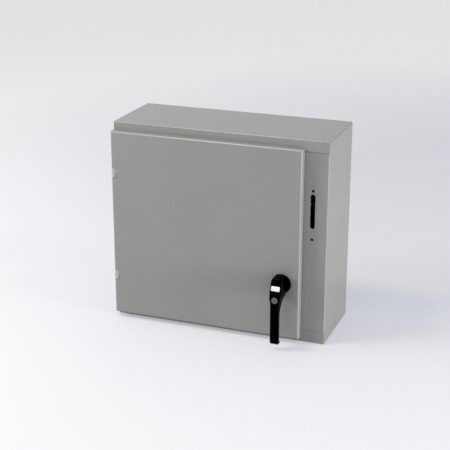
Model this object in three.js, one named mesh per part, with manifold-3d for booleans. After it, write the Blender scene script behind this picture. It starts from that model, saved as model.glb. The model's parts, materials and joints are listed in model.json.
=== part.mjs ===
// A wall-mounted fused disconnect switch: a grey sheet steel enclosure with a hinged door, a three-point
// latch turned by a locking handle, and a three-pole fusible knife switch on the panel inside, worked by a
// lever behind the slot in the right-hand flange. Millimetres, +Z up, the door faces -Y and the origin is
// the middle of the back face.
import * as THREE from "three";
import { mergeVertices } from "three/addons/utils/BufferGeometryUtils.js";
import Module from "manifold-3d";

const wasm = await Module();
wasm.setup();

// ---------------------------------------------------------------- driving dimensions

const WIDTH = 656;
const HEIGHT = 610;
const DEPTH = 243;
const SHEET = 1.9; // 14 gauge steel
const BEND = 3; // outside radius of a sheet bend
const GAP = 0.3; // clearance between two pieces that touch
const SEAM = 0.8; // open joint between the edges of two body panels
const CUT = 2; // how far a cutting tool runs past the face that it cuts

const HALF_W = WIDTH / 2;
const HALF_H = HEIGHT / 2;
const CAP_FLANGE = 34; // front flanges of the top and bottom panels
const LEFT_FLANGE = 26;
const RIGHT_FLANGE = 86; // the flange that carries the operator's slot
const OPENING = {
  left: -HALF_W + LEFT_FLANGE,
  right: HALF_W - RIGHT_FLANGE,
  half: HALF_H - CAP_FLANGE,
};
const COLLAR = { back: -(DEPTH - 5), front: -(DEPTH + 14) };

const SLOT = { x: 283.7, z: 98.4, width: 14.4, length: 103 };
const OPERATOR_HOLES = { radius: 4.3, z: [159, 14.6] };

const HINGE = { x: -321, y: -262, z: [155.5, -166.7], half: 14.3, radius: 7 };
const KNUCKLE_ROUND = 4; // radius of the corners of a hinge's square knuckles
const DOOR = {
  left: -328,
  right: 257.6,
  bottom: -290,
  top: 281.2,
  front: -269.5,
  back: -245,
  bend: 5.5,
};
const NOTCH = { right: -309.4, half: 15.2 };
const LATCH = { x: 204.9, z: -119.4 }; // where the handle's spindle goes through the door

const PANEL = {
  halfW: 295,
  halfH: 267,
  front: -28,
  thickness: 2.7,
  studX: 280,
  studZ: 252,
};

const SWITCH = { x: 170, y: -85, z: SLOT.z }; // the blade shaft's axis, at the middle pole
const POLE_PITCH = 50;
const POLES = [-1, 0, 1];
const THROW = THREE.MathUtils.degToRad(70); // turn of the blades from off to on
const CRANK_RADIUS = 30;
const LEVER_Y = -90; // the operating lever's pivot, from the blade shaft

// ---------------------------------------------------------------- materials

const paint = (color, roughness, metalness = 0) =>
  new THREE.MeshStandardMaterial({ color, roughness, metalness });
const GREY = paint(0x93938f, 0.5);
const WHITE = paint(0xe9e9e4, 0.45);
const BLACK = paint(0x0b0b0c, 0.35);
const ZINC = paint(0xa9adb0, 0.35, 0.9);
const STAINLESS = paint(0xb4b5b3, 0.3, 0.9);
const FOAM = paint(0x1c1c1d, 0.9);
const POCKET = paint(0x3b3d40, 0.55);
const PHENOLIC = paint(0x241713, 0.5);
const COPPER = paint(0xb87348, 0.35, 0.95);
const TINNED = paint(0xb9b7ae, 0.35, 0.95);
const FUSE = paint(0xc9c2a5, 0.6);
const CLEAR = paint(0xc8d2d6, 0.15);
const NYLON = paint(0xd9d7cf, 0.5);

// ---------------------------------------------------------------- shapes

const AXES = {
  x: new THREE.Vector3(1, 0, 0),
  y: new THREE.Vector3(0, 1, 0),
  z: new THREE.Vector3(0, 0, 1),
};

// A box between two corners.
function block(x0, x1, y0, y1, z0, z1) {
  const g = new THREE.BoxGeometry(x1 - x0, y1 - y0, z1 - z0);
  return g.translate((x0 + x1) / 2, (y0 + y1) / 2, (z0 + z1) / 2);
}

// A round bar along an axis, from one place on it to another, with its centre line through the point
// (a, b) of the other two axes, in the order x, y, z.
function bar(axis, radius, from, to, a = 0, b = 0, sides = 24) {
  const g = new THREE.CylinderGeometry(radius, radius, to - from, sides);
  const mid = (from + to) / 2;
  if (axis === "x") return g.rotateZ(-Math.PI / 2).translate(mid, a, b);
  if (axis === "y") return g.translate(a, mid, b);
  return g.rotateX(Math.PI / 2).translate(a, b, mid);
}

const extrude = (shape, depth) =>
  new THREE.ExtrudeGeometry(shape, {
    depth,
    bevelEnabled: false,
    curveSegments: 8,
  });

// An outline drawn in x and y, standing between two heights.
const plateXY = (shape, z0, z1) => extrude(shape, z1 - z0).translate(0, 0, z0);

// An outline drawn in x and z, between two places on y.
const plateXZ = (shape, y0, y1) =>
  extrude(shape, y1 - y0)
    .rotateX(Math.PI / 2)
    .translate(0, y1, 0);

// An outline drawn in y and z, between two places on x.
const plateYZ = (shape, x0, x1) =>
  extrude(shape, x1 - x0)
    .applyMatrix4(new THREE.Matrix4().makeBasis(AXES.y, AXES.z, AXES.x))
    .translate(x0, 0, 0);

// A solid turned about the y axis from [radius, y] pairs that start and end on the axis.
function turnedY(profile, sides = 32) {
  return new THREE.LatheGeometry(
    profile.map(([r, y]) => new THREE.Vector2(r, y)),
    sides,
  );
}

function rectangle(x0, x1, y0, y1) {
  const s = new THREE.Shape();
  s.moveTo(x0, y0).lineTo(x1, y0).lineTo(x1, y1).lineTo(x0, y1);
  return s;
}

// A square about the origin with rounded corners.
function roundedSquare(half, round) {
  const c = half - round;
  const s = new THREE.Shape();
  s.absarc(c, c, round, 0, Math.PI / 2, false);
  s.absarc(-c, c, round, Math.PI / 2, Math.PI, false);
  s.absarc(-c, -c, round, Math.PI, 1.5 * Math.PI, false);
  s.absarc(c, -c, round, 1.5 * Math.PI, 2 * Math.PI, false);
  return s;
}

// A slot outline with round ends, its length along the second axis.
function stadium(cx, cy, width, length) {
  const r = width / 2;
  const straight = length / 2 - r;
  const s = new THREE.Shape();
  s.absarc(cx, cy + straight, r, 0, Math.PI, false);
  s.absarc(cx, cy - straight, r, Math.PI, 2 * Math.PI, false);
  return s;
}

// A rectangular frame outline.
function frameOutline(x0, x1, y0, y1, strip) {
  const s = rectangle(x0, x1, y0, y1);
  s.holes.push(rectangle(x0 + strip, x1 - strip, y0 + strip, y1 - strip));
  return s;
}

// An L of bent sheet with its outer corner at the origin, one leg along +x and one along +y.
function bentSheet(legX, legY) {
  const inside = BEND - SHEET;
  const s = new THREE.Shape();
  s.moveTo(legX, 0).lineTo(legX, SHEET);
  s.absarc(BEND, BEND, inside, 1.5 * Math.PI, Math.PI, true);
  s.lineTo(SHEET, legY).lineTo(0, legY);
  s.absarc(BEND, BEND, BEND, Math.PI, 1.5 * Math.PI, false);
  return s;
}

// ---------------------------------------------------------------- joining and cutting

function solidOf(geometry) {
  const bare = geometry.clone();
  bare.deleteAttribute("normal");
  bare.deleteAttribute("uv");
  const merged = mergeVertices(bare, 1e-4);
  return new wasm.Manifold(
    new wasm.Mesh({
      numProp: 3,
      vertProperties: merged.attributes.position.array,
      triVerts: new Uint32Array(merged.index.array),
    }),
  );
}

function geometryOf(solid) {
  const mesh = solid.getMesh();
  const g = new THREE.BufferGeometry();
  g.setAttribute("position", new THREE.BufferAttribute(mesh.vertProperties, 3));
  g.setIndex(new THREE.BufferAttribute(mesh.triVerts, 1));
  g.computeVertexNormals();
  return g;
}

const join = (...pieces) =>
  geometryOf(pieces.map(solidOf).reduce((a, b) => a.add(b)));

const cut = (body, ...tools) =>
  geometryOf(tools.map(solidOf).reduce((a, b) => a.subtract(b), solidOf(body)));

const common = (a, b) => geometryOf(solidOf(a).intersect(solidOf(b)));

// ---------------------------------------------------------------- scene graph

function place(parent, name, geometry, material, x = 0, y = 0, z = 0) {
  const mesh = new THREE.Mesh(geometry, material);
  mesh.name = name;
  mesh.position.set(x, y, z);
  parent.add(mesh);
  return mesh;
}

function groupIn(parent, x, y, z) {
  const g = new THREE.Group();
  g.position.set(x, y, z);
  parent.add(g);
  return g;
}

const root = new THREE.Group();

// ---------------------------------------------------------------- enclosure

const WALL_HOLE = { radius: 5.5, x: HALF_W - 46, z: HALF_H - 26 };
const STUD = { shoulder: 7, radius: 4, tip: -42 };
const GROUND_STUD = { radius: 3, length: 22, x: -240, z: -282 };

// The back sheet with its wall holes, and the panel studs and the earth stud that are welded to it.
function backPanel() {
  const x = HALF_W - SHEET - GAP;
  const z = HALF_H - SHEET - GAP;
  const holes = [-1, 1].flatMap((i) =>
    [-1, 1].map((j) =>
      bar(
        "y",
        WALL_HOLE.radius,
        -SHEET - CUT,
        CUT,
        i * WALL_HOLE.x,
        j * WALL_HOLE.z,
        16,
      ),
    ),
  );
  const shoulderEnd = PANEL.front + PANEL.thickness + GAP;
  const studs = [-1, 1].flatMap((i) =>
    [-1, 1].flatMap((j) => [
      bar(
        "y",
        STUD.shoulder,
        shoulderEnd,
        -SHEET / 2,
        i * PANEL.studX,
        j * PANEL.studZ,
        16,
      ),
      bar(
        "y",
        STUD.radius,
        STUD.tip,
        -SHEET / 2,
        i * PANEL.studX,
        j * PANEL.studZ,
        12,
      ),
    ]),
  );
  const earth = bar(
    "y",
    GROUND_STUD.radius,
    -GROUND_STUD.length,
    -SHEET / 2,
    GROUND_STUD.x,
    GROUND_STUD.z,
    12,
  );
  return join(cut(block(-x, x, -SHEET, 0, -z, z), ...holes), ...studs, earth);
}

const SIDE_HALF = HALF_H - SHEET - SEAM; // half the height of a side panel

// The corners of a side panel's flange are left out where the top and bottom panels' flanges go.
function withoutFlangeCorners(panel) {
  const reach = HALF_W + CUT;
  const back = -DEPTH + BEND;
  const corner = (z0, z1) => block(-reach, reach, -DEPTH - CUT, back, z0, z1);
  return cut(
    panel,
    corner(OPENING.half - SEAM, SIDE_HALF + CUT),
    corner(-SIDE_HALF - CUT, -OPENING.half + SEAM),
  );
}

function leftSidePanel() {
  const sheet = plateXY(
    bentSheet(LEFT_FLANGE, DEPTH),
    -SIDE_HALF,
    SIDE_HALF,
  ).translate(-HALF_W, -DEPTH, 0);
  return withoutFlangeCorners(sheet);
}

function rightSidePanel() {
  const sheet = plateXY(
    bentSheet(DEPTH, RIGHT_FLANGE),
    -SIDE_HALF,
    SIDE_HALF,
  )
    .rotateZ(Math.PI / 2)
    .translate(HALF_W, -DEPTH, 0);
  const through = [-DEPTH - CUT, -DEPTH + SHEET + CUT];
  const slot = plateXZ(
    stadium(SLOT.x, SLOT.z, SLOT.width, SLOT.length),
    ...through,
  );
  const holes = OPERATOR_HOLES.z.map((z) =>
    bar("y", OPERATOR_HOLES.radius, ...through, SLOT.x, z, 20),
  );
  return cut(withoutFlangeCorners(sheet), slot, ...holes);
}

const bottomPanel = () =>
  plateYZ(bentSheet(DEPTH, CAP_FLANGE), -HALF_W, HALF_W).translate(
    0,
    -DEPTH,
    -HALF_H,
  );

// The L turned a quarter so that its short leg hangs down.
function topPanel() {
  const turned = extrude(bentSheet(CAP_FLANGE, DEPTH), WIDTH).rotateZ(
    -Math.PI / 2,
  );
  return turned
    .applyMatrix4(new THREE.Matrix4().makeBasis(AXES.y, AXES.z, AXES.x))
    .translate(-HALF_W, -DEPTH, HALF_H);
}

// The lip round the door opening that the door's gasket closes on.
function openingCollar() {
  const outline = frameOutline(
    OPENING.left + GAP,
    OPENING.right - GAP,
    -OPENING.half + GAP,
    OPENING.half - GAP,
    SHEET,
  );
  return plateXZ(outline, COLLAR.front, COLLAR.back);
}

function mountingPanel() {
  const holes = [-1, 1].flatMap((i) =>
    [-1, 1].map((j) =>
      bar(
        "y",
        STUD.radius + 0.5,
        PANEL.front - CUT,
        PANEL.front + PANEL.thickness + CUT,
        i * PANEL.studX,
        j * PANEL.studZ,
        16,
      ),
    ),
  );
  const sheet = block(
    -PANEL.halfW,
    PANEL.halfW,
    PANEL.front,
    PANEL.front + PANEL.thickness,
    -PANEL.halfH,
    PANEL.halfH,
  );
  return cut(sheet, ...holes);
}

const NUT = { radius: 7.5, height: 6.5 };

const panelNut = () =>
  cut(
    bar("y", NUT.radius, -NUT.height, 0, 0, 0, 6),
    bar("y", STUD.radius + GAP, -NUT.height - CUT, CUT, 0, 0, 12),
  );

const enclosure = groupIn(root, 0, 0, 0);
place(enclosure, "back_panel", backPanel(), GREY);
place(enclosure, "left_side_panel", leftSidePanel(), GREY);
place(enclosure, "right_side_panel", rightSidePanel(), GREY);
place(enclosure, "top_panel", topPanel(), GREY);
place(enclosure, "bottom_panel", bottomPanel(), GREY);
place(enclosure, "opening_collar", openingCollar(), GREY);
place(enclosure, "mounting_panel", mountingPanel(), WHITE);
for (const [row, j] of [
  ["upper", 1],
  ["lower", -1],
]) {
  for (const [side, i] of [
    ["left", -1],
    ["right", 1],
  ]) {
    place(
      enclosure,
      `panel_nut_${row}_${side}`,
      panelNut(),
      ZINC,
      i * PANEL.studX,
      PANEL.front - GAP,
      j * PANEL.studZ,
    );
  }
}

// ---------------------------------------------------------------- hinges

const LEAF = 2.5; // thickness of a hinge leaf
const KNUCKLE_GAP = 0.2;
const PIN_RADIUS = 2.5;
const BODY_FOOT = { y: -DEPTH - GAP - HINGE.y, right: 15 };
const DOOR_LEAF = { front: DOOR.front + SHEET + GAP - HINGE.y, right: 13.4 };

const knuckle = (z0, z1) =>
  plateXY(roundedSquare(HINGE.radius, KNUCKLE_ROUND), z0, z1);

const hingeBore = () =>
  bar(
    "z",
    PIN_RADIUS + GAP,
    -HINGE.half - CUT,
    HINGE.half + CUT,
    0,
    0,
    20,
  );

// The leaf welded to the body's flange: the lower knuckle, and a strap back through the notch in the
// door's edge.
function hingeBodyLeaf() {
  const { half, radius } = HINGE;
  const neck = block(
    -radius,
    -radius + LEAF,
    0,
    BODY_FOOT.y,
    -half,
    -KNUCKLE_GAP,
  );
  const strap = block(
    -radius,
    -radius + LEAF,
    radius + 0.8,
    BODY_FOOT.y,
    -half,
    half,
  );
  const foot = block(
    -radius,
    BODY_FOOT.right,
    BODY_FOOT.y - LEAF,
    BODY_FOOT.y,
    -half,
    half,
  );
  return cut(
    join(knuckle(-half, -KNUCKLE_GAP), neck, strap, foot),
    hingeBore(),
  );
}

// The leaf welded inside the door: the upper knuckle and a flat behind the door's face.
function hingeDoorLeaf() {
  const { half, radius } = HINGE;
  const { front, right } = DOOR_LEAF;
  const neck = block(3, right, front, front + LEAF, KNUCKLE_GAP, half);
  const flat = block(radius + 1.6, right, front, front + LEAF, -half, half);
  return cut(join(knuckle(KNUCKLE_GAP, half), neck, flat), hingeBore());
}

const hingePin = () =>
  bar("z", PIN_RADIUS, -HINGE.half, HINGE.half, 0, 0, 20);

// ---------------------------------------------------------------- door

const door = groupIn(root, HINGE.x, HINGE.y, 0);
const SPINDLE_HOLE = 12;

// A place on the door from its place in the object.
const doorX = (x) => x - HINGE.x;
const doorY = (y) => y - HINGE.y;

// A channel's outline: two legs running back from a face at y0, with round bends of the radius given.
function channelOutline(a0, a1, y0, y1, bend) {
  const s = new THREE.Shape();
  s.moveTo(a0, y1).lineTo(a0, y0 + bend);
  s.absarc(a0 + bend, y0 + bend, bend, Math.PI, 1.5 * Math.PI, false);
  s.absarc(a1 - bend, y0 + bend, bend, 1.5 * Math.PI, 2 * Math.PI, false);
  s.lineTo(a1, y1);
  return s;
}

// A solid whose front face is bent back round all four of its edges.
function bentBlock(x0, x1, y0, y1, z0, z1, bend) {
  const upright = plateXY(channelOutline(x0, x1, y0, y1, bend), z0, z1);
  const level = plateXY(channelOutline(z0, z1, y0, y1, bend), -x1, -x0);
  return common(upright, level.rotateY(-Math.PI / 2));
}

// A shallow tray, notched at its hinge edge and drilled for the latch spindle.
function doorPanel() {
  const [x0, x1] = [doorX(DOOR.left), doorX(DOOR.right)];
  const [y0, y1] = [doorY(DOOR.front), doorY(DOOR.back)];
  const outside = bentBlock(
    x0,
    x1,
    y0,
    y1,
    DOOR.bottom,
    DOOR.top,
    DOOR.bend,
  );
  const inside = bentBlock(
    x0 + SHEET,
    x1 - SHEET,
    y0 + SHEET,
    y1 + CUT,
    DOOR.bottom + SHEET,
    DOOR.top - SHEET,
    DOOR.bend - SHEET,
  );
  const notches = HINGE.z.map((z) =>
    block(
      x0 - CUT,
      doorX(NOTCH.right),
      y0 - CUT,
      y1 + CUT,
      z - NOTCH.half,
      z + NOTCH.half,
    ),
  );
  const hole = bar(
    "y",
    SPINDLE_HOLE,
    y0 - CUT,
    y0 + SHEET + CUT,
    doorX(LATCH.x),
    LATCH.z,
    32,
  );
  return cut(outside, inside, ...notches, hole);
}

const GASKET_WIDTH = 12;

// The foam strip stands on the door's inner face, centred on the collar's lip.
function doorGasket() {
  const lip = SHEET / 2 + GAP;
  const half = GASKET_WIDTH / 2;
  const outline = frameOutline(
    doorX(OPENING.left) + lip - half,
    doorX(OPENING.right) - lip + half,
    -OPENING.half + lip - half,
    OPENING.half - lip + half,
    GASKET_WIDTH,
  );
  return plateXZ(
    outline,
    doorY(DOOR.front) + SHEET + GAP,
    doorY(COLLAR.front) - GAP,
  );
}

const POCKET_SIZE = {
  left: 130,
  right: 370,
  bottom: -130,
  top: 60,
  depth: 19.3,
  wall: 2,
};

// An open-topped holder for drawings on the inside of the door.
function printPocket() {
  const { left, right, bottom, top, depth, wall } = POCKET_SIZE;
  const y = doorY(DOOR.front) + SHEET + GAP;
  const outside = block(left, right, y, y + depth, bottom, top);
  const inside = block(
    left + wall,
    right - wall,
    y + wall,
    y + depth - wall,
    bottom + wall,
    top + CUT,
  );
  return cut(outside, inside);
}

place(door, "door_panel", doorPanel(), GREY);
place(door, "door_gasket", doorGasket(), FOAM);
place(door, "print_pocket", printPocket(), POCKET);
for (const [row, z] of [
  ["upper", HINGE.z[0]],
  ["lower", HINGE.z[1]],
]) {
  place(
    enclosure,
    `${row}_hinge_body_leaf`,
    hingeBodyLeaf(),
    STAINLESS,
    HINGE.x,
    HINGE.y,
    z,
  );
  place(
    enclosure,
    `${row}_hinge_pin`,
    hingePin(),
    STAINLESS,
    HINGE.x,
    HINGE.y,
    z,
  );
  place(door, `${row}_hinge_door_leaf`, hingeDoorLeaf(), STAINLESS, 0, 0, z);
}

// ---------------------------------------------------------------- handle and latch
// Drawn about the spindle's axis, with y 0 on the door's outer face and -y towards the user.

const BASE = { radius: 29, step: 26, back: -2.1, shoulder: -7, front: -10 };
const SEAL = { radius: 28, bore: 13, thickness: 1.5 };
const SPINDLE = { radius: 6, end: 33, thread: 4, tip: 44, front: -40 };
const HEAD = { half: 16.5, top: 33, crown: -41, brow: -58, corner: 10 };
const WIDEST = -2; // height of the head's widest place
const WAIST = { half: 13.2, z: -38 }; // where the head has narrowed and the straight grip begins
const NECK = { bottom: -33.5, front: -14 };
const GRIP = {
  half: 12.4,
  front: -65.5,
  back: -52.5,
  top: -70,
  corner: 4.5,
  length: 168,
};
const CURL = { nose: 12, back: -44, radius: 4 };
const LOCK = { z: -29, radius: 9.1, plug: 6.6, depth: 20 };

const handleSeal = () =>
  cut(
    bar("y", SEAL.radius, -SEAL.thickness - GAP, -GAP, 0, 0, 36),
    bar("y", SEAL.bore, -5, CUT, 0, 0, 24),
  );

function handleBase() {
  const disc = turnedY(
    [
      [0, BASE.front],
      [BASE.step, BASE.front],
      [BASE.radius, BASE.shoulder],
      [BASE.radius, BASE.back],
      [0, BASE.back],
    ],
    40,
  );
  return cut(
    disc,
    bar(
      "y",
      SPINDLE.radius + 0.5,
      BASE.front - CUT,
      BASE.back + CUT,
      0,
      0,
      24,
    ),
  );
}

// The lever as seen from the front: a broad head with a round top, narrowing below the lock to a slim
// grip. The offsets in the curves are their handles.
function leverOutline() {
  const { half, length } = GRIP;
  const { top, corner } = HEAD;
  const shoulder = HEAD.half - 1;
  const s = new THREE.Shape();
  s.moveTo(-shoulder, top - corner);
  s.lineTo(-HEAD.half, WIDEST);
  s.bezierCurveTo(
    -HEAD.half - 0.8,
    WIDEST - 20,
    -WAIST.half - 2.4,
    WAIST.z + 8,
    -WAIST.half,
    WAIST.z,
  );
  s.bezierCurveTo(
    -WAIST.half + 0.6,
    WAIST.z - 4,
    -half,
    GRIP.top + 20,
    -half,
    GRIP.top,
  );
  const round = GRIP.corner;
  const foot = round - length;
  s.lineTo(-half, foot);
  s.absarc(round - half, foot, round, Math.PI, 1.5 * Math.PI, false);
  s.absarc(half - round, foot, round, 1.5 * Math.PI, 0, false);
  s.lineTo(half, GRIP.top);
  s.bezierCurveTo(
    half,
    GRIP.top + 20,
    WAIST.half - 0.6,
    WAIST.z - 4,
    WAIST.half,
    WAIST.z,
  );
  s.bezierCurveTo(
    WAIST.half + 2.4,
    WAIST.z + 8,
    HEAD.half + 0.8,
    WIDEST - 20,
    HEAD.half,
    WIDEST,
  );
  s.lineTo(shoulder, top - corner);
  s.absarc(shoulder - corner, top - corner, corner, 0, Math.PI / 2, false);
  s.absarc(
    corner - shoulder,
    top - corner,
    corner,
    Math.PI / 2,
    Math.PI,
    false,
  );
  return s;
}

// The lever as seen from the side, in y and z: a head whose face leans out towards the lock, a straight
// grip, an end that curls back towards the door, and a neck that sweeps in to the base.
function leverProfile() {
  const { front, back, length } = GRIP;
  const { nose, radius } = CURL;
  const foot = BASE.front - GAP;
  const browZ = 5;
  const tip = CURL.back - radius;
  const s = new THREE.Shape();
  s.moveTo(foot, HEAD.top - 6);
  s.lineTo(foot - 4, HEAD.top);
  s.lineTo(HEAD.crown, HEAD.top);
  s.bezierCurveTo(
    HEAD.crown - 9,
    HEAD.top - 2,
    HEAD.brow + 3,
    browZ + 12,
    HEAD.brow,
    browZ,
  );
  s.bezierCurveTo(
    HEAD.brow - 3,
    browZ - 13,
    front,
    WAIST.z + 14,
    front,
    WAIST.z,
  );
  s.lineTo(front, nose - length);
  s.absarc(front + nose, nose - length, nose, Math.PI, 1.5 * Math.PI, false);
  s.lineTo(tip, -length);
  s.absarc(tip, radius - length, radius, -Math.PI / 2, Math.PI / 2, false);
  s.quadraticCurveTo(back, 2 * radius + 1 - length, back, 20 - length);
  s.lineTo(back, GRIP.top - 14);
  s.bezierCurveTo(
    back,
    GRIP.top + 14,
    NECK.front - 20,
    NECK.bottom - 10.5,
    NECK.front,
    NECK.bottom,
  );
  s.lineTo(foot, NECK.bottom + 3);
  return s;
}

function handleLever() {
  const width = HEAD.half + CUT;
  const lever = common(
    plateXZ(leverOutline(), GRIP.front - CUT, 0),
    plateYZ(leverProfile(), -width, width),
  );
  const spindleBore = bar(
    "y",
    SPINDLE.radius + GAP,
    SPINDLE.front - GAP,
    0,
    0,
    0,
    24,
  );
  const lockBore = bar(
    "y",
    LOCK.radius + GAP,
    GRIP.front - CUT,
    GRIP.front + LOCK.depth,
    0,
    LOCK.z,
    32,
  );
  return cut(lever, spindleBore, lockBore);
}

const lockHousing = () =>
  cut(
    bar(
      "y",
      LOCK.radius,
      GRIP.front - 0.6,
      GRIP.front + LOCK.depth - GAP,
      0,
      0,
      32,
    ),
    bar(
      "y",
      LOCK.plug + GAP,
      GRIP.front - CUT,
      GRIP.front + LOCK.depth + CUT,
      0,
      0,
      28,
    ),
  );

// The keyed plug, with its keyway upright.
const lockPlug = () =>
  cut(
    bar(
      "y",
      LOCK.plug,
      GRIP.front - 0.9,
      GRIP.front + LOCK.depth - GAP,
      0,
      0,
      28,
    ),
    block(-1, 1, GRIP.front - CUT, GRIP.front + 6, -4.6, 4.6),
  );

const handleSpindle = () =>
  join(
    bar("y", SPINDLE.radius, SPINDLE.front, SPINDLE.end - GAP, 0, 0, 24),
    bar("y", SPINDLE.thread, 0, SPINDLE.tip, 0, 0, 20),
  );

// The bearing behind the door's face: a square flange and a tube that holds the spindle.
function latchBushing() {
  const y0 = SHEET + GAP;
  const flange = block(-24, 24, y0, y0 + 3, -24, 24);
  const nose = bar("y", SPINDLE_HOLE - GAP, -0.2, y0 + 1, 0, 0, 32);
  const tube = bar("y", 12, y0, SPINDLE.end - 2 * GAP, 0, 0, 32);
  const bore = bar(
    "y",
    SPINDLE.radius + GAP,
    -CUT,
    SPINDLE.end + CUT,
    0,
    0,
    24,
  );
  return cut(join(flange, nose, tube), bore);
}

const CAM = { back: 36, radius: 24, tongue: 29.5, pin: 2.8, pinCircle: 20 };
const PIN_OFFSET = CAM.pinCircle * Math.SQRT1_2; // both pins stand at 45 degrees when latched

// The plate on the spindle's end: a round disc with a tongue, and the two pins that drive the rods.
function latchCam() {
  const disc = bar("y", CAM.radius, SPINDLE.end, CAM.back, 0, 0, 36);
  const tongue = block(0, CAM.tongue, SPINDLE.end, CAM.back, -7, 7);
  const pins = [1, -1].map((side) =>
    bar(
      "y",
      CAM.pin,
      SPINDLE.end,
      CAM.back + 7,
      side * PIN_OFFSET,
      side * PIN_OFFSET,
      16,
    ),
  );
  const bore = bar(
    "y",
    SPINDLE.thread + GAP,
    SPINDLE.end - CUT,
    CAM.back + CUT,
    0,
    0,
    20,
  );
  return cut(join(disc, tongue, ...pins), bore);
}

const camNut = () =>
  cut(
    bar("y", 6.9, CAM.back + GAP, CAM.back + 5, 0, 0, 6),
    bar("y", SPINDLE.thread + GAP, CAM.back, CAM.back + 8, 0, 0, 20),
  );

const ROD = {
  front: CAM.back + 0.4,
  thickness: 3,
  x: 17.07, // half-way along the pins' sideways travel
  halfWidth: 6,
  rollerZ: 260, // height of a roller's axle above and below the middle of the body
  rollerRadius: 7,
  rollerY: 38,
};
ROD.back = ROD.front + ROD.thickness;

// A latch rod, running away from the spindle in the direction of side: a slotted foot on the cam's pin,
// a flat bar, and a bent tab with the roller's axle.
function latchRod(side) {
  const x = side * ROD.x;
  const foot = PIN_OFFSET * side;
  const axle = side * ROD.rollerZ - LATCH.z;
  const barEnd = axle - side * (ROD.rollerRadius + 4);
  const span = (a, b) => [Math.min(a, b), Math.max(a, b)];
  const plate = block(
    x - 8.2,
    x + 8.2,
    ROD.front,
    ROD.back,
    ...span(foot - 9, foot + 9),
  );
  const slot = block(
    x - 6.2,
    x + 6.2,
    ROD.front - CUT,
    ROD.back + CUT,
    ...span(foot - 3.7, foot + 3.7),
  );
  const strip = block(
    x - ROD.halfWidth,
    x + ROD.halfWidth,
    ROD.front,
    ROD.back,
    ...span(foot + side * 8, barEnd),
  );
  const tabLeft = x - ROD.halfWidth;
  const tab = block(
    tabLeft,
    tabLeft + LEAF,
    ROD.rollerY - 6,
    ROD.rollerY + 6,
    ...span(barEnd - side * 6, axle + side * 5),
  );
  const pin = bar("x", 2.5, tabLeft, tabLeft + 11, ROD.rollerY, axle, 16);
  const head = bar("x", 4.2, tabLeft + 9.6, tabLeft + 11, ROD.rollerY, axle, 16);
  return join(cut(plate, slot), strip, tab, pin, head);
}

const rodRoller = () =>
  cut(
    bar("x", ROD.rollerRadius, -3.2, 3.2, 0, 0, 28),
    bar("x", 2.5 + GAP, -5, 5, 0, 0, 20),
  );

const GUIDE = { half: 9, halfHeight: 8, back: 44 };

// A nylon block on the door's inner face with a window that the rod slides through.
const rodGuide = () =>
  cut(
    block(
      -GUIDE.half,
      GUIDE.half,
      SHEET + GAP,
      GUIDE.back,
      -GUIDE.halfHeight,
      GUIDE.halfHeight,
    ),
    block(
      -ROD.halfWidth - 0.5,
      ROD.halfWidth + 0.5,
      ROD.front - 0.5,
      ROD.back + 0.5,
      -GUIDE.halfHeight - CUT,
      GUIDE.halfHeight + CUT,
    ),
  );

const latch = groupIn(door, doorX(LATCH.x), doorY(DOOR.front), LATCH.z);
place(latch, "handle_seal", handleSeal(), FOAM);
place(latch, "handle_base", handleBase(), BLACK);
place(latch, "latch_bushing", latchBushing(), ZINC);
place(latch, "handle_lever", handleLever(), BLACK);
place(latch, "handle_spindle", handleSpindle(), ZINC);
place(latch, "latch_cam", latchCam(), ZINC);
place(latch, "cam_nut", camNut(), ZINC);
place(latch, "lock_housing", lockHousing(), ZINC, 0, 0, LOCK.z);
place(latch, "lock_plug", lockPlug(), ZINC, 0, 0, LOCK.z);
for (const [row, side, guideZ] of [
  ["upper", 1, 300],
  ["lower", -1, -78],
]) {
  const x = side * ROD.x;
  place(latch, `${row}_latch_rod`, latchRod(side), ZINC);
  place(latch, `${row}_rod_guide`, rodGuide(), NYLON, x, 0, guideZ);
  place(
    latch,
    `${row}_rod_roller`,
    rodRoller(),
    NYLON,
    x,
    ROD.rollerY,
    side * ROD.rollerZ - LATCH.z,
  );
}

// ---------------------------------------------------------------- fusible switch
// Drawn about the blade shaft's axis at the middle pole. The blades stand upright when the switch is on.

const SWITCH_BACK = PANEL.front - SWITCH.y - GAP;
const BASE_FRONT = SWITCH_BACK - 20;
const SWITCH_BODY = { half: 78, bottom: -226.4, top: 79.6, barrier: 3 };
const BARRIER_FRONT = -20;
const SHAFT_RADIUS = 6;
const BLADE = { thickness: 3, width: 14, length: 68 };
const JAW = { inner: 1.9, outer: 3.9, start: 22, end: 48 };
const CARTRIDGE = {
  y: 13,
  radius: 13.5,
  tube: 12.7,
  cap: 16,
  length: 140,
  top: -52.4,
};
const CLIP = { wall: 1.5, half: 7, floor: 3 };

// A moulded slab with four fins that keep the poles apart. The outer fins carry the blade shaft.
function switchBase() {
  const { half, bottom, top, barrier } = SWITCH_BODY;
  const slab = block(-half, half, BASE_FRONT, SWITCH_BACK, bottom, top);
  const fin = (x, z0, z1) =>
    block(
      x - barrier / 2,
      x + barrier / 2,
      BARRIER_FRONT,
      BASE_FRONT + 1,
      z0,
      z1,
    );
  const inner = [-0.5, 0.5].flatMap((i) => [
    fin(i * POLE_PITCH, bottom, -18),
    fin(i * POLE_PITCH, 18, top),
  ]);
  const outer = [-1.5, 1.5].map((i) => fin(i * POLE_PITCH, bottom, top));
  const bore = bar("x", SHAFT_RADIUS + GAP, -half - CUT, half + CUT, 0, 0, 24);
  return cut(join(slab, ...inner, ...outer), bore);
}

const blade = () =>
  plateYZ(
    stadium(0, 0, BLADE.width, BLADE.length),
    -BLADE.thickness / 2,
    BLADE.thickness / 2,
  );

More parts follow.
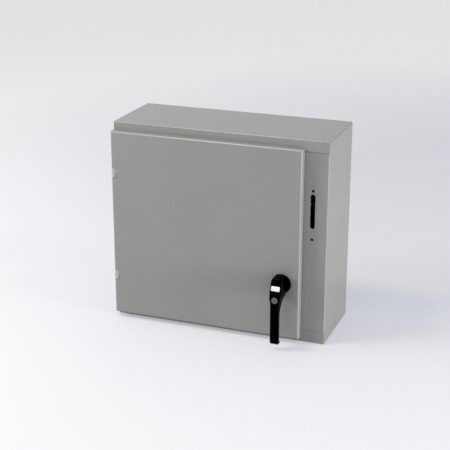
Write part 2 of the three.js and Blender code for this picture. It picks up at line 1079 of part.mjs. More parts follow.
// The insulated bar that carries the three blades and turns in the base's outer fins.
function crossbar() {
  const radius = 12;
  const half = 1.5 * POLE_PITCH - 3;
  const journal = bar("x", SHAFT_RADIUS, -half - 8, -half + 1, 0, 0, 24);
  const body = bar("x", radius, -half, half, 0, 0, 28);
  const slots = POLES.map((i) =>
    block(
      i * POLE_PITCH - BLADE.thickness / 2 - GAP,
      i * POLE_PITCH + BLADE.thickness / 2 + GAP,
      -BLADE.width / 2 - GAP,
      BLADE.width / 2 + GAP,
      -radius - CUT,
      radius + CUT,
    ),
  );
  const bore = bar("x", SHAFT_RADIUS + GAP, half - 12, half + CUT, 0, 0, 24);
  return cut(join(body, journal), ...slots, bore);
}

// A pair of prongs that grip one end of a blade, and the block that joins them. side is 1 above the
// shaft and -1 below it.
function jaw(side) {
  const half = BLADE.width / 2;
  const span = (a, b) => (side > 0 ? [a, b] : [-b, -a]);
  return [
    block(-JAW.outer, -JAW.inner, -half, half, ...span(JAW.start, JAW.end)),
    block(JAW.inner, JAW.outer, -half, half, ...span(JAW.start, JAW.end)),
    block(-8, 8, -half, BASE_FRONT - GAP, ...span(JAW.end - 4, JAW.end + 3)),
  ];
}

// A lug with a wire hole along z and a clamping screw on its face.
function lug(z0, z1, openSide) {
  const y = (10 + BASE_FRONT) / 2 - 1;
  const mid = (z0 + z1) / 2;
  const mouth = openSide > 0 ? [mid - 4, z1 + CUT] : [z0 - CUT, mid + 4];
  const body = block(-9, 9, 10, BASE_FRONT - GAP, z0, z1);
  const screw = bar("y", 5, 5, 11, 0, mid, 16);
  return join(cut(body, bar("z", 5.5, ...mouth, 0, y, 20)), screw);
}

const lineTerminal = () => join(...jaw(1), lug(50, 74, 1));

// A spring clip, open to the front, that takes one end cap of a cartridge fuse.
function fuseClip(zMid) {
  const inner = CARTRIDGE.radius + GAP;
  const outer = inner + CLIP.wall;
  const strap = BASE_FRONT - GAP - CLIP.floor;
  const floor = strap - CLIP.floor;
  const z = [zMid - CLIP.half, zMid + CLIP.half];
  return [
    block(-outer, outer, floor, strap + 0.1, ...z),
    block(-outer, -inner, -2, strap, ...z),
    block(inner, outer, -2, strap, ...z),
  ];
}

const CLIP_INSET = 1 + CLIP.half; // from a fuse's end to the middle of its clip
const UPPER_CLIP_Z = CARTRIDGE.top - CLIP_INSET;
const LOWER_CLIP_Z = CARTRIDGE.top - CARTRIDGE.length + CLIP_INSET;

const strapPiece = (z0, z1) =>
  block(-8, 8, BASE_FRONT - GAP - CLIP.floor, BASE_FRONT - GAP, z0, z1);

const loadJaw = () =>
  join(
    ...jaw(-1),
    strapPiece(UPPER_CLIP_Z - CLIP.half, -JAW.end),
    ...fuseClip(UPPER_CLIP_Z),
  );

const loadTerminal = () =>
  join(
    ...fuseClip(LOWER_CLIP_Z),
    strapPiece(-222, LOWER_CLIP_Z + CLIP.half),
    lug(-222, -198, -1),
  );

// A cartridge fuse: a tube with a metal cap on each end, turned about its own length.
function cartridgeFuse() {
  const { radius, tube, cap, length } = CARTRIDGE;
  const profile = [
    [0, -length],
    [radius, -length],
    [radius, -length + cap],
    [tube, -length + cap],
    [tube, -cap],
    [radius, -cap],
    [radius, 0],
    [0, 0],
  ];
  return turnedY(profile, 32).rotateX(Math.PI / 2);
}

// The clear guard over the line lugs, with a return across the top.
const lineShield = () =>
  join(
    block(-77, 77, BARRIER_FRONT - GAP - 2, BARRIER_FRONT - GAP, 40, 84),
    block(-77, 77, BARRIER_FRONT - GAP - 1, 12, 82, 84),
  );

// ---------------------------------------------------------------- operating mechanism

const SIDE_PLATE = 2.5;
const FRAME = { left: 86, right: 132 };
const PIVOT_RADIUS = 5;
const LINK_PIN_RADIUS = 4;

// A steel channel beside the switch. Its cheeks carry the blade shaft and the operating lever's pivot.
function mechanismFrame() {
  const outline = new THREE.Shape();
  outline.moveTo(SWITCH_BACK, -58);
  outline.lineTo(SWITCH_BACK, 62);
  outline.lineTo(-60, 24);
  outline.lineTo(LEVER_Y - 16, 16);
  outline.lineTo(LEVER_Y - 16, -16);
  outline.lineTo(-60, -24);
  const cheeks = [
    plateYZ(outline, FRAME.left, FRAME.left + SIDE_PLATE),
    plateYZ(outline, FRAME.right - SIDE_PLATE, FRAME.right),
  ];
  const web = block(
    FRAME.left,
    FRAME.right,
    SWITCH_BACK - SIDE_PLATE,
    SWITCH_BACK,
    -58,
    62,
  );
  const bore = (radius, y) =>
    bar("x", radius + GAP, FRAME.left - CUT, FRAME.right + CUT, y, 0, 24);
  return cut(
    join(...cheeks, web),
    bore(SHAFT_RADIUS, 0),
    bore(PIVOT_RADIUS, LEVER_Y),
  );
}

const leverPivotPin = () =>
  join(
    bar("x", PIVOT_RADIUS, FRAME.left - 3, FRAME.right + 3, LEVER_Y, 0, 24),
    bar("x", 7.5, FRAME.left - 3, FRAME.left - GAP, LEVER_Y, 0, 24),
    bar("x", 7.5, FRAME.right + GAP, FRAME.right + 3, LEVER_Y, 0, 24),
  );

const bladeShaft = () =>
  bar("x", SHAFT_RADIUS, 1.5 * POLE_PITCH - 15 + GAP, FRAME.right + 2, 0, 0, 24);

// A flat arm between two places in the y, z plane, with round ends.
function arm(y, z, width) {
  const length = Math.hypot(y, z) + width;
  const outline = stadium(0, (length - width) / 2, width, length);
  const angle = Math.atan2(z, y) - Math.PI / 2;
  return (x0, x1) => plateYZ(outline, x0, x1).rotateX(angle);
}

const CRANK = { left: 92, right: 98 };
const LINK = { left: 101, right: 106 };
const LEVER = {
  left: SLOT.x - SWITCH.x - 4,
  right: SLOT.x - SWITCH.x + 4,
  reach: 62,
};

// The crank on the blade shaft. It hangs half a throw in front of straight down when the switch is on.
function shaftCrank() {
  const angle = THROW / 2;
  const [y, z] = [
    -CRANK_RADIUS * Math.sin(angle),
    -CRANK_RADIUS * Math.cos(angle),
  ];
  return cut(
    join(
      bar("x", 12, CRANK.left, CRANK.right, 0, 0, 28),
      arm(y, z, 14)(CRANK.left, CRANK.right),
      bar("x", LINK_PIN_RADIUS, CRANK.left + 1, LINK.right + 1, y, z, 16),
    ),
    bar("x", SHAFT_RADIUS + GAP, CRANK.left - CUT, CRANK.right + CUT, 0, 0, 24),
  );
}

// The bell crank behind the slot, drawn at the middle of its throw: one arm points out at the slot and
// the other hangs down to the link.
function operatingLever() {
  return cut(
    join(
      bar("x", 12, LEVER.left, LEVER.right, 0, 0, 28),
      arm(-LEVER.reach + 6, 0, 12)(LEVER.left, LEVER.right),
      arm(0, -CRANK_RADIUS, 14)(LEVER.left, LEVER.right),
      bar(
        "x",
        LINK_PIN_RADIUS,
        LINK.left - 1,
        LEVER.left + 1,
        0,
        -CRANK_RADIUS,
        16,
      ),
    ),
    bar(
      "x",
      PIVOT_RADIUS + GAP,
      LEVER.left - CUT,
      LEVER.right + CUT,
      0,
      0,
      24,
    ),
  );
}

// The link runs from the lever's pin, at its origin, back to the crank's pin.
const driveLink = () =>
  cut(
    arm(-LEVER_Y, 0, 13)(LINK.left, LINK.right),
    bar("x", LINK_PIN_RADIUS + GAP, LINK.left - CUT, LINK.right + CUT, 0, 0, 20),
    bar(
      "x",
      LINK_PIN_RADIUS + GAP,
      LINK.left - CUT,
      LINK.right + CUT,
      -LEVER_Y,
      0,
      20,
    ),
  );

const fused = groupIn(enclosure, SWITCH.x, SWITCH.y, SWITCH.z);
place(fused, "switch_base", switchBase(), PHENOLIC);
place(fused, "line_shield", lineShield(), CLEAR);
place(fused, "mechanism_frame", mechanismFrame(), ZINC);
place(fused, "lever_pivot_pin", leverPivotPin(), ZINC);

const rotor = groupIn(fused, 0, 0, 0);
rotor.rotation.x = THROW; // modelled switched off
place(rotor, "blade_crossbar", crossbar(), PHENOLIC);
place(rotor, "blade_shaft", bladeShaft(), ZINC);
place(rotor, "shaft_crank", shaftCrank(), ZINC);

POLES.forEach((i, index) => {
  const pole = index + 1;
  const x = i * POLE_PITCH;
  place(fused, `line_terminal_${pole}`, lineTerminal(), TINNED, x);
  place(fused, `load_jaw_${pole}`, loadJaw(), TINNED, x);
  place(fused, `load_terminal_${pole}`, loadTerminal(), TINNED, x);
  place(
    fused,
    `fuse_${pole}`,
    cartridgeFuse(),
    FUSE,
    x,
    CARTRIDGE.y,
    CARTRIDGE.top,
  );
  place(rotor, `blade_${pole}`, blade(), COPPER, x);
});

const operator = groupIn(fused, 0, LEVER_Y, 0);
operator.rotation.x = THROW / 2;
place(operator, "operating_lever", operatingLever(), BLACK);
place(
  fused,
  "drive_link",
  driveLink(),
  ZINC,
  0,
  LEVER_Y + CRANK_RADIUS * Math.sin(THROW / 2),
  -CRANK_RADIUS * Math.cos(THROW / 2),
);

export default root;
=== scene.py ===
"""The looks of a wall-mounted fused disconnect switch: a grey powder-coated enclosure with a hinged door, a
black locking latch handle, an empty operator slot in its right flange, and a fusible switch inside."""

import json
import math

import bmesh
import bpy
from mathutils import Matrix, Vector
from mathutils.bvhtree import BVHTree


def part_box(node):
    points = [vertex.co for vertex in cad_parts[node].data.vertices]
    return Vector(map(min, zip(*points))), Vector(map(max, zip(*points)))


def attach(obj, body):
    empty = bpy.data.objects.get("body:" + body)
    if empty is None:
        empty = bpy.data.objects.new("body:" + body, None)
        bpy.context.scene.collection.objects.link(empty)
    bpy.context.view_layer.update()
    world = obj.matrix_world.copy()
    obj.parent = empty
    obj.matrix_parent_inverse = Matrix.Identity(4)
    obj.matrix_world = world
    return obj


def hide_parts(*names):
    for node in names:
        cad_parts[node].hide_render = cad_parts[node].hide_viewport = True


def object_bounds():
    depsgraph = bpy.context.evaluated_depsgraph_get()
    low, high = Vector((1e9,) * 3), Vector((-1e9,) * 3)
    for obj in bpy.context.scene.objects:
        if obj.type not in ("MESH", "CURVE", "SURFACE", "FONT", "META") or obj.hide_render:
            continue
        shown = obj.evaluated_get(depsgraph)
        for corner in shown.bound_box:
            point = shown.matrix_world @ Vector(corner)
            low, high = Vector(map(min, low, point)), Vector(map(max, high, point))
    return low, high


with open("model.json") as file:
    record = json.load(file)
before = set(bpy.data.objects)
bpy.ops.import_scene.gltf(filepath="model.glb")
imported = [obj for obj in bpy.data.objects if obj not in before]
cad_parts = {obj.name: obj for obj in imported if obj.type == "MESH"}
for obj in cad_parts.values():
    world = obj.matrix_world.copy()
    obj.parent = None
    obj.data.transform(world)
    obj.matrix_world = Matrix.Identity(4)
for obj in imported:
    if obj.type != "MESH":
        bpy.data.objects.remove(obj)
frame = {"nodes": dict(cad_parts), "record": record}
CAD_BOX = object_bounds()
RECORD = frame["record"]
BODY_OF = {node: body for body, nodes in RECORD["behaviour"]["bodies"].items() for node in nodes}
SLOT_OF = {part["node"]: part["material_slot"] for part in RECORD["subparts"]}
MM = 0.001
FULL_TURN = 2 * math.pi


# ------------------------------------------------------------------ camera, light and floor

FLOOR_Z = CAD_BOX[0].z
FIELD = {"lens": 92.13, "sensor": 36.0}
CAMERA = {"azimuth": 20.64, "elevation": 19.48, "roll": 0.05, "place": (1.1330, -3.1960, 1.1425)}


def make_camera():
    data = bpy.data.cameras.new("camera")
    data.lens = FIELD["lens"]
    data.sensor_width = FIELD["sensor"]
    camera = bpy.data.objects.new("camera", data)
    bpy.context.scene.collection.objects.link(camera)
    camera.location = CAMERA["place"]
    tilt = math.radians(90 - CAMERA["elevation"])
    turn = math.radians(CAMERA["azimuth"])
    roll = Matrix.Rotation(math.radians(CAMERA["roll"]), 4, "Z")
    aim = Matrix.Rotation(turn, 4, "Z") @ Matrix.Rotation(tilt, 4, "X") @ roll
    camera.rotation_euler = aim.to_euler()
    bpy.context.scene.camera = camera


def area_light(name, place, aim, size, power, color=(1, 1, 1)):
    data = bpy.data.lights.new(name, "AREA")
    data.shape = "DISK"
    data.size = size
    data.energy = power
    data.color = color
    light = bpy.data.objects.new(name, data)
    bpy.context.scene.collection.objects.link(light)
    light.location = place
    light.rotation_euler = (Vector(place) - Vector(aim)).to_track_quat("Z", "Y").to_euler()


LIGHTS = {
    "left_softbox": ((-3.45, -1.75, 1.5), (0, -0.2, 0), 2.0, 99, (1, 0.98, 0.96)),
    "overhead_softbox": ((-0.95, -1.05, 3.0), (0, -0.15, 0), 0.6, 25, (1, 0.98, 0.92)),
    "right_softbox": ((3.5, -0.75, 0.2), (0, -0.2, -0.1), 0.9, 87, (0.93, 0.98, 1)),
}


def make_world(color, strength):
    world = bpy.data.worlds.new("studio")
    world.use_nodes = True
    background = world.node_tree.nodes["Background"]
    background.inputs["Color"].default_value = (*color, 1)
    background.inputs["Strength"].default_value = strength
    bpy.context.scene.world = world


def make_floor(radius, material):
    """One wide disc that the object stands on."""
    bm = bmesh.new()
    bmesh.ops.create_circle(bm, cap_ends=True, segments=96, radius=radius)
    floor = mesh_object("studio_floor", bm)
    floor.location.z = FLOOR_Z - 0.5 * MM
    floor.data.materials.append(material)


# ------------------------------------------------------------------ materials


class Surface:
    """A Principled material with its colour, roughness and bump worked out from noise in object space."""

    def __init__(self, name, **sockets):
        self.material = bpy.data.materials.new(name)
        self.material.use_nodes = True
        self.tree = self.material.node_tree
        self.shader = self.tree.nodes["Principled BSDF"]
        for socket, value in sockets.items():
            self.shader.inputs[socket.replace("_", " ")].default_value = value
        coordinates = self.tree.nodes.new("ShaderNodeTexCoord")
        self.space = coordinates.outputs["Object"]
        self.normal = coordinates.outputs["Normal"]

    def node(self, kind, links, **settings):
        made = self.tree.nodes.new(kind)
        for key, value in settings.items():
            setattr(made, key, value)
        for socket, value in links.items():
            if isinstance(value, bpy.types.NodeSocket):
                self.tree.links.new(value, made.inputs[socket])
            else:
                made.inputs[socket].default_value = value
        return made

    def stretched(self, scale):
        return self.node("ShaderNodeMapping", {"Vector": self.space, "Scale": scale}).outputs["Vector"]

    def noise(self, scale, detail=4.0, stretch=None):
        space = self.stretched(stretch) if stretch else self.space
        links = {"Vector": space, "Scale": scale, "Detail": detail}
        return self.node("ShaderNodeTexNoise", links).outputs["Fac"]

    def cells(self, scale, feature="F1"):
        links = {"Vector": self.space, "Scale": scale}
        return self.node("ShaderNodeTexVoronoi", links, feature=feature).outputs["Distance"]

    def between(self, source, low, high, start=0.35, end=0.65):
        """The source's run from start to end, spread out from low to high."""
        links = {"Value": source, "From Min": start, "From Max": end, "To Min": low, "To Max": high}
        return self.node("ShaderNodeMapRange", links).outputs["Result"]

    def blend(self, source, dark, light):
        mixed = self.node("ShaderNodeMix", {"Factor": source}, data_type="RGBA")
        mixed.inputs["A"].default_value = (*dark, 1)
        mixed.inputs["B"].default_value = (*light, 1)
        return mixed.outputs["Result"]

    def product(self, a, b):
        return self.node("ShaderNodeMath", {0: a, 1: b}, operation="MULTIPLY").outputs[0]

    def total(self, a, b):
        return self.node("ShaderNodeMath", {0: a, 1: b}, operation="ADD").outputs[0]

    def larger(self, a, b):
        return self.node("ShaderNodeMath", {0: a, 1: b}, operation="MAXIMUM").outputs[0]

    def painted_bend_highlight(self, low, high):
        """Painted highlight mask: from low on the square faces to high in the middle of a bend or a broken
        edge, where light would catch.
        """
        size = self.node("ShaderNodeVectorMath", {0: self.normal}, operation="ABSOLUTE").outputs["Vector"]
        x, y, z = self.node("ShaderNodeSeparateXYZ", {"Vector": size}).outputs
        return self.between(self.larger(x, self.larger(y, z)), low, high, 0.985, 0.80)

    def colour(self, value):
        self.tree.links.new(value, self.shader.inputs["Base Color"])

    def roughness(self, value):
        self.tree.links.new(value, self.shader.inputs["Roughness"])

    def bump(self, height, depth_mm, under=None):
        links = {"Height": height, "Strength": 1.0, "Distance": depth_mm * MM}
        if under is not None:
            links["Normal"] = under
        return self.node("ShaderNodeBump", links).outputs["Normal"]

    def relief(self, normal):
        self.tree.links.new(normal, self.shader.inputs["Normal"])


def shade(color, factor):
    return tuple(channel * factor for channel in color)


FINE_PEEL = 0.3  # depth of the finest orange peel, as a share of the coarse one's


def powder_coat(name, color, gloss=(0.21, 0.25), specular=0.5, texture=0.012):
    """Oven-cured powder paint: fine orange peel, a slow drift in colour, and a painted highlight on the
    bends, a paler colour that stands in for the light they catch.
    """
    s = Surface(name, Specular_IOR_Level=specular)
    drift = s.between(s.noise(3.2, 3.0), 0, 0.08)
    # painted highlight: bends and broken edges get a paler colour, up to 1.5 times the paint's own
    s.colour(s.blend(s.total(drift, s.painted_bend_highlight(0, 0.62)), shade(color, 0.98), shade(color, 1.5)))
    s.roughness(s.between(s.noise(9.0, 5.0), *gloss))
    peel = s.bump(s.noise(420.0, 2.0), texture)
    s.relief(s.bump(s.noise(1600.0, 1.0), texture * FINE_PEEL, under=peel))
    return s.material


def plated_steel(name, color, grain=(1, 1, 1), gloss=(0.24, 0.42), tint=0.92):
    """Bright plated or rolled metal with drawn grain, faint water marks and handling scuffs."""
    s = Surface(name, Metallic=1.0)
    marks = s.noise(38.0, 6.0)
    warm = (color[0], color[1] * 0.98, color[2] * tint)
    s.colour(s.blend(s.between(marks, 0, 1), warm, color))
    s.roughness(s.between(s.noise(120.0, 6.0, grain), *gloss))
    s.relief(s.bump(s.noise(700.0, 3.0, grain), 0.006))
    return s.material


def moulding(name, color, gloss=(0.35, 0.5), mottle=0.12, specular=0.4, texture=0.012):
    """Moulded plastic or resin with a fine spark texture and a faint mottle."""
    s = Surface(name, Specular_IOR_Level=specular)
    fleck = s.noise(160.0, 8.0)
    s.colour(s.blend(s.between(fleck, 0, 1), shade(color, 1 - mottle), shade(color, 1 + mottle)))
    s.roughness(s.between(s.noise(45.0, 4.0), *gloss))
    s.relief(s.bump(s.noise(1300.0, 2.0), texture))
    return s.material


def closed_foam(name, color):
    s = Surface(name, Specular_IOR_Level=0.2)
    pores = s.cells(900.0)
    s.colour(s.blend(s.between(pores, 0, 1, 0.0, 0.6), shade(color, 0.5), shade(color, 1.3)))
    s.roughness(s.between(s.noise(60.0), 0.75, 0.95))
    s.relief(s.bump(pores, 0.12))
    return s.material


def bare_copper(name, color):
    """Copper with a film of tarnish and fine polishing lines along the blade."""
    s = Surface(name, Metallic=1.0)
    film = s.noise(55.0, 8.0)
    s.colour(s.blend(s.between(film, 0, 1), shade(color, 0.62), color))
    s.roughness(s.between(film, 0.42, 0.24))
    s.relief(s.bump(s.noise(500.0, 3.0, (6, 0.4, 0.4)), 0.008))
    return s.material


def clear_sheet(name, color):
    s = Surface(name, Transmission_Weight=0.92, IOR=1.49)
    haze = s.noise(30.0, 5.0)
    s.colour(s.blend(s.between(haze, 0, 1), shade(color, 0.96), color))
    s.roughness(s.between(haze, 0.03, 0.09))
    return s.material


def studio_floor(name, color, centre, spread, glow, tint):
    """Pale paint with a painted glow that only the camera sees: dim and bluish round the centre as painted
    shade, brighter away from it, standing in for a lit backdrop.
    """
    s = Surface(name, Specular_IOR_Level=0.2, Roughness=0.7)
    far = s.node("ShaderNodeVectorMath", {0: s.space, 1: centre}, operation="DISTANCE").outputs["Value"]
    seen = s.node("ShaderNodeLightPath", {}).outputs["Is Camera Ray"]
    # painted glow: emission on camera rays only, growing with distance from the centre
    strength = s.product(seen, s.between(far, *glow, *spread))
    s.tree.links.new(strength, s.shader.inputs["Emission Strength"])
    # painted shade: the glow is tinted bluish near the centre and white far from it
    painted_glow_colour = s.blend(s.between(far, 0, 1, *spread), tint, (1, 1, 1))
    s.tree.links.new(painted_glow_colour, s.shader.inputs["Emission Color"])
    s.colour(s.blend(s.between(s.noise(0.8, 2.0), 0, 1), shade(color, 0.99), shade(color, 1.01)))
    return s.material


GREY = (0.300, 0.300, 0.289)
OFF_WHITE = (0.78, 0.78, 0.75)
JET_BLACK = (0.0004, 0.0004, 0.0005)
MATERIALS = {
    "painted_steel": powder_coat("powder_grey", GREY),
    "white_enamel": powder_coat("powder_white", OFF_WHITE, gloss=(0.3, 0.42)),
    "black_enamel": powder_coat("powder_black", JET_BLACK, gloss=(0.14, 0.20), specular=0.012),
    "zinc_plated": plated_steel("zinc", (0.62, 0.64, 0.66)),
    "stainless": plated_steel("stainless", (0.62, 0.62, 0.61), grain=(1, 1, 14), tint=0.99),
    "foam": closed_foam("black_foam", (0.018, 0.018, 0.019)),
    "pocket_plastic": moulding("pocket_grey", (0.045, 0.048, 0.052)),
    "phenolic": moulding("phenolic", (0.022, 0.012, 0.009), gloss=(0.28, 0.44), mottle=0.3),
    "copper": bare_copper("copper", (0.85, 0.43, 0.25)),
    "tinned_copper": plated_steel("tinned", (0.66, 0.65, 0.61), gloss=(0.3, 0.5)),
    "fuse_tube": moulding("melamine", (0.56, 0.50, 0.34), gloss=(0.5, 0.65), mottle=0.06),
    "clear_plastic": clear_sheet("polycarbonate", (0.93, 0.96, 0.97)),
    "nylon": moulding("nylon", (0.66, 0.64, 0.58), mottle=0.03),
}
HINGE_METAL = powder_coat("hinge_paint", (0.45, 0.45, 0.44), gloss=(0.3, 0.42))
WHITE_PRINT = powder_coat("pad_print", (0.9, 0.9, 0.9), gloss=(0.35, 0.45), texture=0.004)
FUSE_CAP = plated_steel("fuse_cap", (0.72, 0.66, 0.52), gloss=(0.25, 0.4))
FUSE_BAND = moulding("fuse_band", (0.20, 0.32, 0.12), gloss=(0.4, 0.55), mottle=0.05)
LOCK_METAL = plated_steel("lock_metal", (0.27, 0.27, 0.27), gloss=(0.3, 0.45), tint=1.0)


# ------------------------------------------------------------------ mesh building

CREASE = math.radians(32)
FLAT = math.radians(0.4)
WELD = 0.01 * MM


def mesh_object(name, bm):
    mesh = bpy.data.meshes.new(name)
    bm.to_mesh(mesh)
    bm.free()
    made = bpy.data.objects.new(name, mesh)
    bpy.context.scene.collection.objects.link(made)
    return made


def soften(piece, crease=CREASE):
    """Smooth shading that stays flat on the broad faces and breaks at the sharp edges."""
    mesh = piece.data
    mesh.shade_smooth()
    bm = bmesh.new()
    bm.from_mesh(mesh)
    for edge in bm.edges:
        edge.smooth = len(edge.link_faces) == 2 and edge.calc_face_angle(0) < crease
    bm.to_mesh(mesh)
    bm.free()
    weighted = piece.modifiers.new("flat_faces_first", "WEIGHTED_NORMAL")
    weighted.keep_sharp = True
    weighted.weight = 100


def dress(piece, node, material=None, stands_for=True):
    """Puts a piece on its CAD node's body, in the node's finish, and in its place if it stands for it."""
    piece.data.materials.clear()
    piece.data.materials.append(material or MATERIALS[SLOT_OF[node]])
    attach(piece, BODY_OF[node])
    if stands_for:
        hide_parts(node)
    return piece


def sharp_edges(bm, angle=CREASE):
    return [e for e in bm.edges if len(e.link_faces) == 2 and e.calc_face_angle(0) > angle]


def cad_mesh(node):
    """The node's solid with its triangles joined up into whole flat faces."""
    bm = bmesh.new()
    bm.from_mesh(frame["nodes"][node].data)
    bmesh.ops.remove_doubles(bm, verts=bm.verts, dist=WELD)
    bmesh.ops.dissolve_limit(bm, angle_limit=FLAT, verts=bm.verts, edges=bm.edges)
    return bm


def break_edges(bm, edges, width_mm, segments=2):
    bmesh.ops.bevel(
        bm,
        geom=edges,
        offset=width_mm * MM,
        segments=segments,
        profile=0.5,
        affect="EDGES",
        clamp_overlap=True,
    )


def cast(node, voxel_mm, passes, material=None):
    """A CAD node as a casting: one even skin, with its edges melted down to small rounds."""
    piece = mesh_object(f"{node}_cast", cad_mesh(node))
    remesh = piece.modifiers.new("even_skin", "REMESH")
    remesh.mode = "VOXEL"
    remesh.voxel_size = voxel_mm * MM
    remesh.use_smooth_shade = True
    smooth = piece.modifiers.new("worn_edges", "SMOOTH")
    smooth.factor = 0.5
    smooth.iterations = passes
    return dress(piece, node, material)


def revolved(name, rings, centre, axis, segments=64, ripple=None):
    """A closed solid of revolution from [radius, height] pairs in mm. Ripple lifts points of a ring."""
    bm = bmesh.new()
    loops = []
    for i, (radius, height) in enumerate(rings):
        loop = []
        for k in range(segments):
            turn = FULL_TURN * k / segments
            lift = ripple(i, turn) if ripple else 0
            point = Vector((radius * math.cos(turn), radius * math.sin(turn), height + lift))
            loop.append(bm.verts.new(point * MM))
        loops.append(loop)
    for a, b in zip(loops, loops[1:] + loops[:1]):
        for k in range(segments):
            n = (k + 1) % segments
            bm.faces.new((a[k], a[n], b[n], b[k]))
    seat = Matrix.Translation(centre) @ axis.to_matrix().to_4x4()
    bmesh.ops.transform(bm, matrix=seat, verts=bm.verts)
    bmesh.ops.recalc_face_normals(bm, faces=bm.faces)
    piece = mesh_object(name, bm)
    soften(piece)
    return piece


def finished(node, width_mm=0.4, segments=2, material=None, first=None):
    """A CAD node with its edges broken, as a deburred and painted or plated piece has them."""
    bm = cad_mesh(node)
    if first:
        first(bm)
    break_edges(bm, sharp_edges(bm), width_mm, segments)
    piece = mesh_object(f"{node}_finished", bm)
    soften(piece)
    return dress(piece, node, material)


# ------------------------------------------------------------------ enclosure

for node in (
    "back_panel",
    "left_side_panel",
    "right_side_panel",
    "top_panel",
    "bottom_panel",
    "opening_collar",
    "mounting_panel",
):
    finished(node, 0.9, 3)
finished("door_panel", 0.35)
finished("door_gasket", 1.6, 4)
finished("print_pocket", 0.5, 3)
for row in ("upper", "lower"):
    finished(f"{row}_hinge_body_leaf", 0.3, 2, HINGE_METAL)
    finished(f"{row}_hinge_door_leaf", 0.3, 2, HINGE_METAL)
    finished(f"{row}_hinge_pin", 0.5, 3, HINGE_METAL)
    finished(f"{row}_latch_rod", 0.35)
    finished(f"{row}_rod_guide", 0.5)
    finished(f"{row}_rod_roller", 0.8, 3)
    for side in ("left", "right"):
        finished(f"panel_nut_{row}_{side}", 0.5)

for node in ("handle_seal", "latch_bushing", "handle_spindle", "latch_cam", "cam_nut"):
    finished(node, 0.35)

# ------------------------------------------------------------------ handle

FORWARD = Vector((0, -1, 0)).to_track_quat("Z", "Y")  # turned shapes are drawn with +Z towards the user


def middle(node):
    low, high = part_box(node)
    return (low + high) / 2


SPINDLE_BORE = 6.5
FLUTES = 20
FLUTE_DEPTH = 1.1


def fluted_base():
    """The round escutcheon, with a ring of shallow radial flutes in its face."""
    low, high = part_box("handle_base")
    radius = (high.x - low.x) / 2 / MM
    depth = (high.y - low.y) / MM
    rings = [
        (SPINDLE_BORE, 0),
        (SPINDLE_BORE, depth),
        (0.60 * radius, depth),
        (0.64 * radius, depth - 0.2),
        (0.84 * radius, depth - 0.3),
        (0.90 * radius, depth - 0.6),
        (0.97 * radius, depth - 2.0),
        (radius, depth - 3.4),
        (radius, 0.5),
        (radius - 0.5, 0),
    ]
    fluted = (4, 5, 6)

    def ripple(ring, turn):
        if ring not in fluted:
            return 0
        return -FLUTE_DEPTH * (0.5 - 0.5 * math.cos(FLUTES * turn)) ** 3

    seat = Vector((middle("handle_base").x, high.y, middle("handle_base").z))
    dress(revolved("handle_base_fluted", rings, seat, FORWARD, 240, ripple), "handle_base")


INK = {"lift": 0.12, "thickness": 0.3}


def printed_bar(width_mm, height_mm, above_mm):
    """A plain white pad-printed bar on the lever's face above the lock. It has no lettering."""
    lever = bmesh.new()
    lever.from_mesh(frame["nodes"]["handle_lever"].data)
    skin = BVHTree.FromBMesh(lever)
    lever.free()
    centre = middle("handle_base") + Vector((0, 0, above_mm * MM))
    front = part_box("handle_lever")[0].y
    columns, rows, corner = 24, 14, 2.2
    bm = bmesh.new()
    grid = []
    for j in range(rows + 1):
        v = (j / rows - 0.5) * height_mm
        inset = corner - math.sqrt(max(0, corner**2 - max(0, abs(v) - height_mm / 2 + corner) ** 2))
        line = []
        for i in range(columns + 1):
            u = (i / columns - 0.5) * (width_mm - 2 * inset)
            start = Vector((centre.x + u * MM, front - 5 * MM, centre.z + v * MM))
            place, normal, _, _ = skin.ray_cast(start, Vector((0, 1, 0)))
            line.append(bm.verts.new(place + normal * INK["lift"] * MM))
        grid.append(line)
    for a, b in zip(grid, grid[1:]):
        for i in range(columns):
            bm.faces.new((a[i], a[i + 1], b[i + 1], b[i]))
    bmesh.ops.recalc_face_normals(bm, faces=bm.faces)
    bar = mesh_object("handle_printed_bar", bm)
    solid = bar.modifiers.new("ink", "SOLIDIFY")
    solid.thickness = INK["thickness"] * MM
    solid.offset = 0
    bar.data.shade_smooth()
    dress(bar, "handle_lever", WHITE_PRINT, stands_for=False)


KEYWAY_SLANT = math.radians(-38)
PRINTED_BAR = {"width_mm": 25, "height_mm": 13.5, "above_mm": 4.5}


def turned_keyway(bm):
    """Turns the plug so that its keyway lies aslant, as it does with the key out."""
    turn = Matrix.Rotation(KEYWAY_SLANT, 4, "Y")
    centre = Matrix.Translation(middle("lock_plug"))
    bmesh.ops.transform(bm, matrix=centre @ turn @ centre.inverted(), verts=bm.verts)


fluted_base()
cast("handle_lever", 0.9, 5)
printed_bar(**PRINTED_BAR)
finished("lock_housing", 0.5, 3, LOCK_METAL)
finished("lock_plug", 0.25, 2, LOCK_METAL, turned_keyway)

# ------------------------------------------------------------------ switch

UPRIGHT = Vector((0, 0, 1)).to_track_quat("Z", "Y")


FUSE_CAP_LENGTH = 16
FUSE_BAND_HEIGHTS = (56, 84)
AXLE = 0.2  # radius of the ring that stands for a turned shape's middle


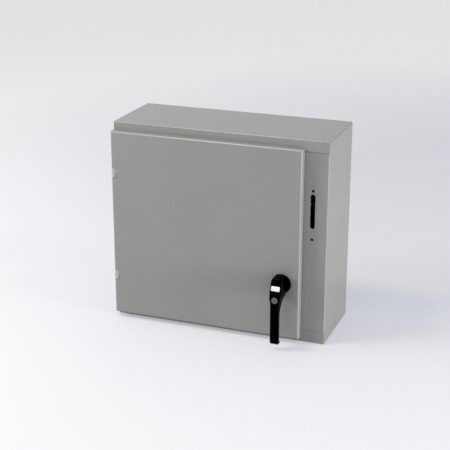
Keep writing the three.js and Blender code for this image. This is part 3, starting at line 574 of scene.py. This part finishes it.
def cartridge_fuse(pole):
    """A melamine tube with a crimped metal cap on each end and a plain coloured band."""
    node = f"fuse_{pole}"
    low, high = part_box(node)
    centre = middle(node)
    length = (high.z - low.z) / MM
    radius = (high.x - low.x) / 2 / MM
    tube = radius - 0.8
    cap = FUSE_CAP_LENGTH
    start = cap - 3
    end = length - start
    body = [(AXLE, start), (tube, start), (tube, end), (AXLE, end)]
    foot = Vector((centre.x, centre.y, low.z))
    dress(revolved(f"{node}_tube", body, foot, UPRIGHT), node)
    z0, z1 = FUSE_BAND_HEIGHTS
    band = [(tube - 0.5, z0), (tube + 0.15, z0), (tube + 0.15, z1), (tube - 0.5, z1)]
    dress(revolved(f"{node}_band", band, foot, UPRIGHT), node, FUSE_BAND, stands_for=False)
    profile = [
        (AXLE, 0),
        (radius - 1.6, 0),
        (radius - 0.5, 0.4),
        (radius, 1.5),
        (radius, cap - 5.2),
        (radius - 0.45, cap - 4.4),
        (radius - 0.45, cap - 3.6),
        (radius, cap - 2.8),
        (radius, cap - 0.4),
        (radius - 0.5, cap),
        (tube - 1, cap),
        (tube - 1, cap - 2),
        (AXLE, cap - 2),
    ]
    dress(revolved(f"{node}_lower_cap", profile, foot, UPRIGHT), node, FUSE_CAP, stands_for=False)
    upper = [(r, length - z) for r, z in profile]
    dress(revolved(f"{node}_upper_cap", upper, foot, UPRIGHT), node, FUSE_CAP, stands_for=False)


for node in (
    "switch_base",
    "line_shield",
    "mechanism_frame",
    "lever_pivot_pin",
    "blade_crossbar",
    "blade_shaft",
    "shaft_crank",
    "drive_link",
    "operating_lever",
):
    finished(node, 0.4)
for pole in (1, 2, 3):
    for kind in ("line_terminal", "load_jaw", "load_terminal", "blade"):
        finished(f"{kind}_{pole}", 0.25)
    cartridge_fuse(pole)


# ------------------------------------------------------------------ the studio

WORLD = {"color": (0.97, 0.985, 1.0), "strength": 0.63}
# glow, spread, centre and tint set the floor's painted glow and its bluish painted shade round the centre
BACKDROP = {
    "color": (0.48, 0.48, 0.485),
    "centre": (0.7, 1.3, 0),
    "spread": (0.9, 2.9),
    "glow": (0.24, 0.42),
    "tint": (1, 1.03, 1.2),
}
FLOOR_RADIUS = 30

make_camera()
make_world(**WORLD)
make_floor(FLOOR_RADIUS, studio_floor("floor_paint_and_painted_glow", **BACKDROP))
for name, (place, aim, size, power, color) in LIGHTS.items():
    area_light(name, place, aim, size, power, color)
bpy.context.scene.view_settings.view_transform = "Standard"
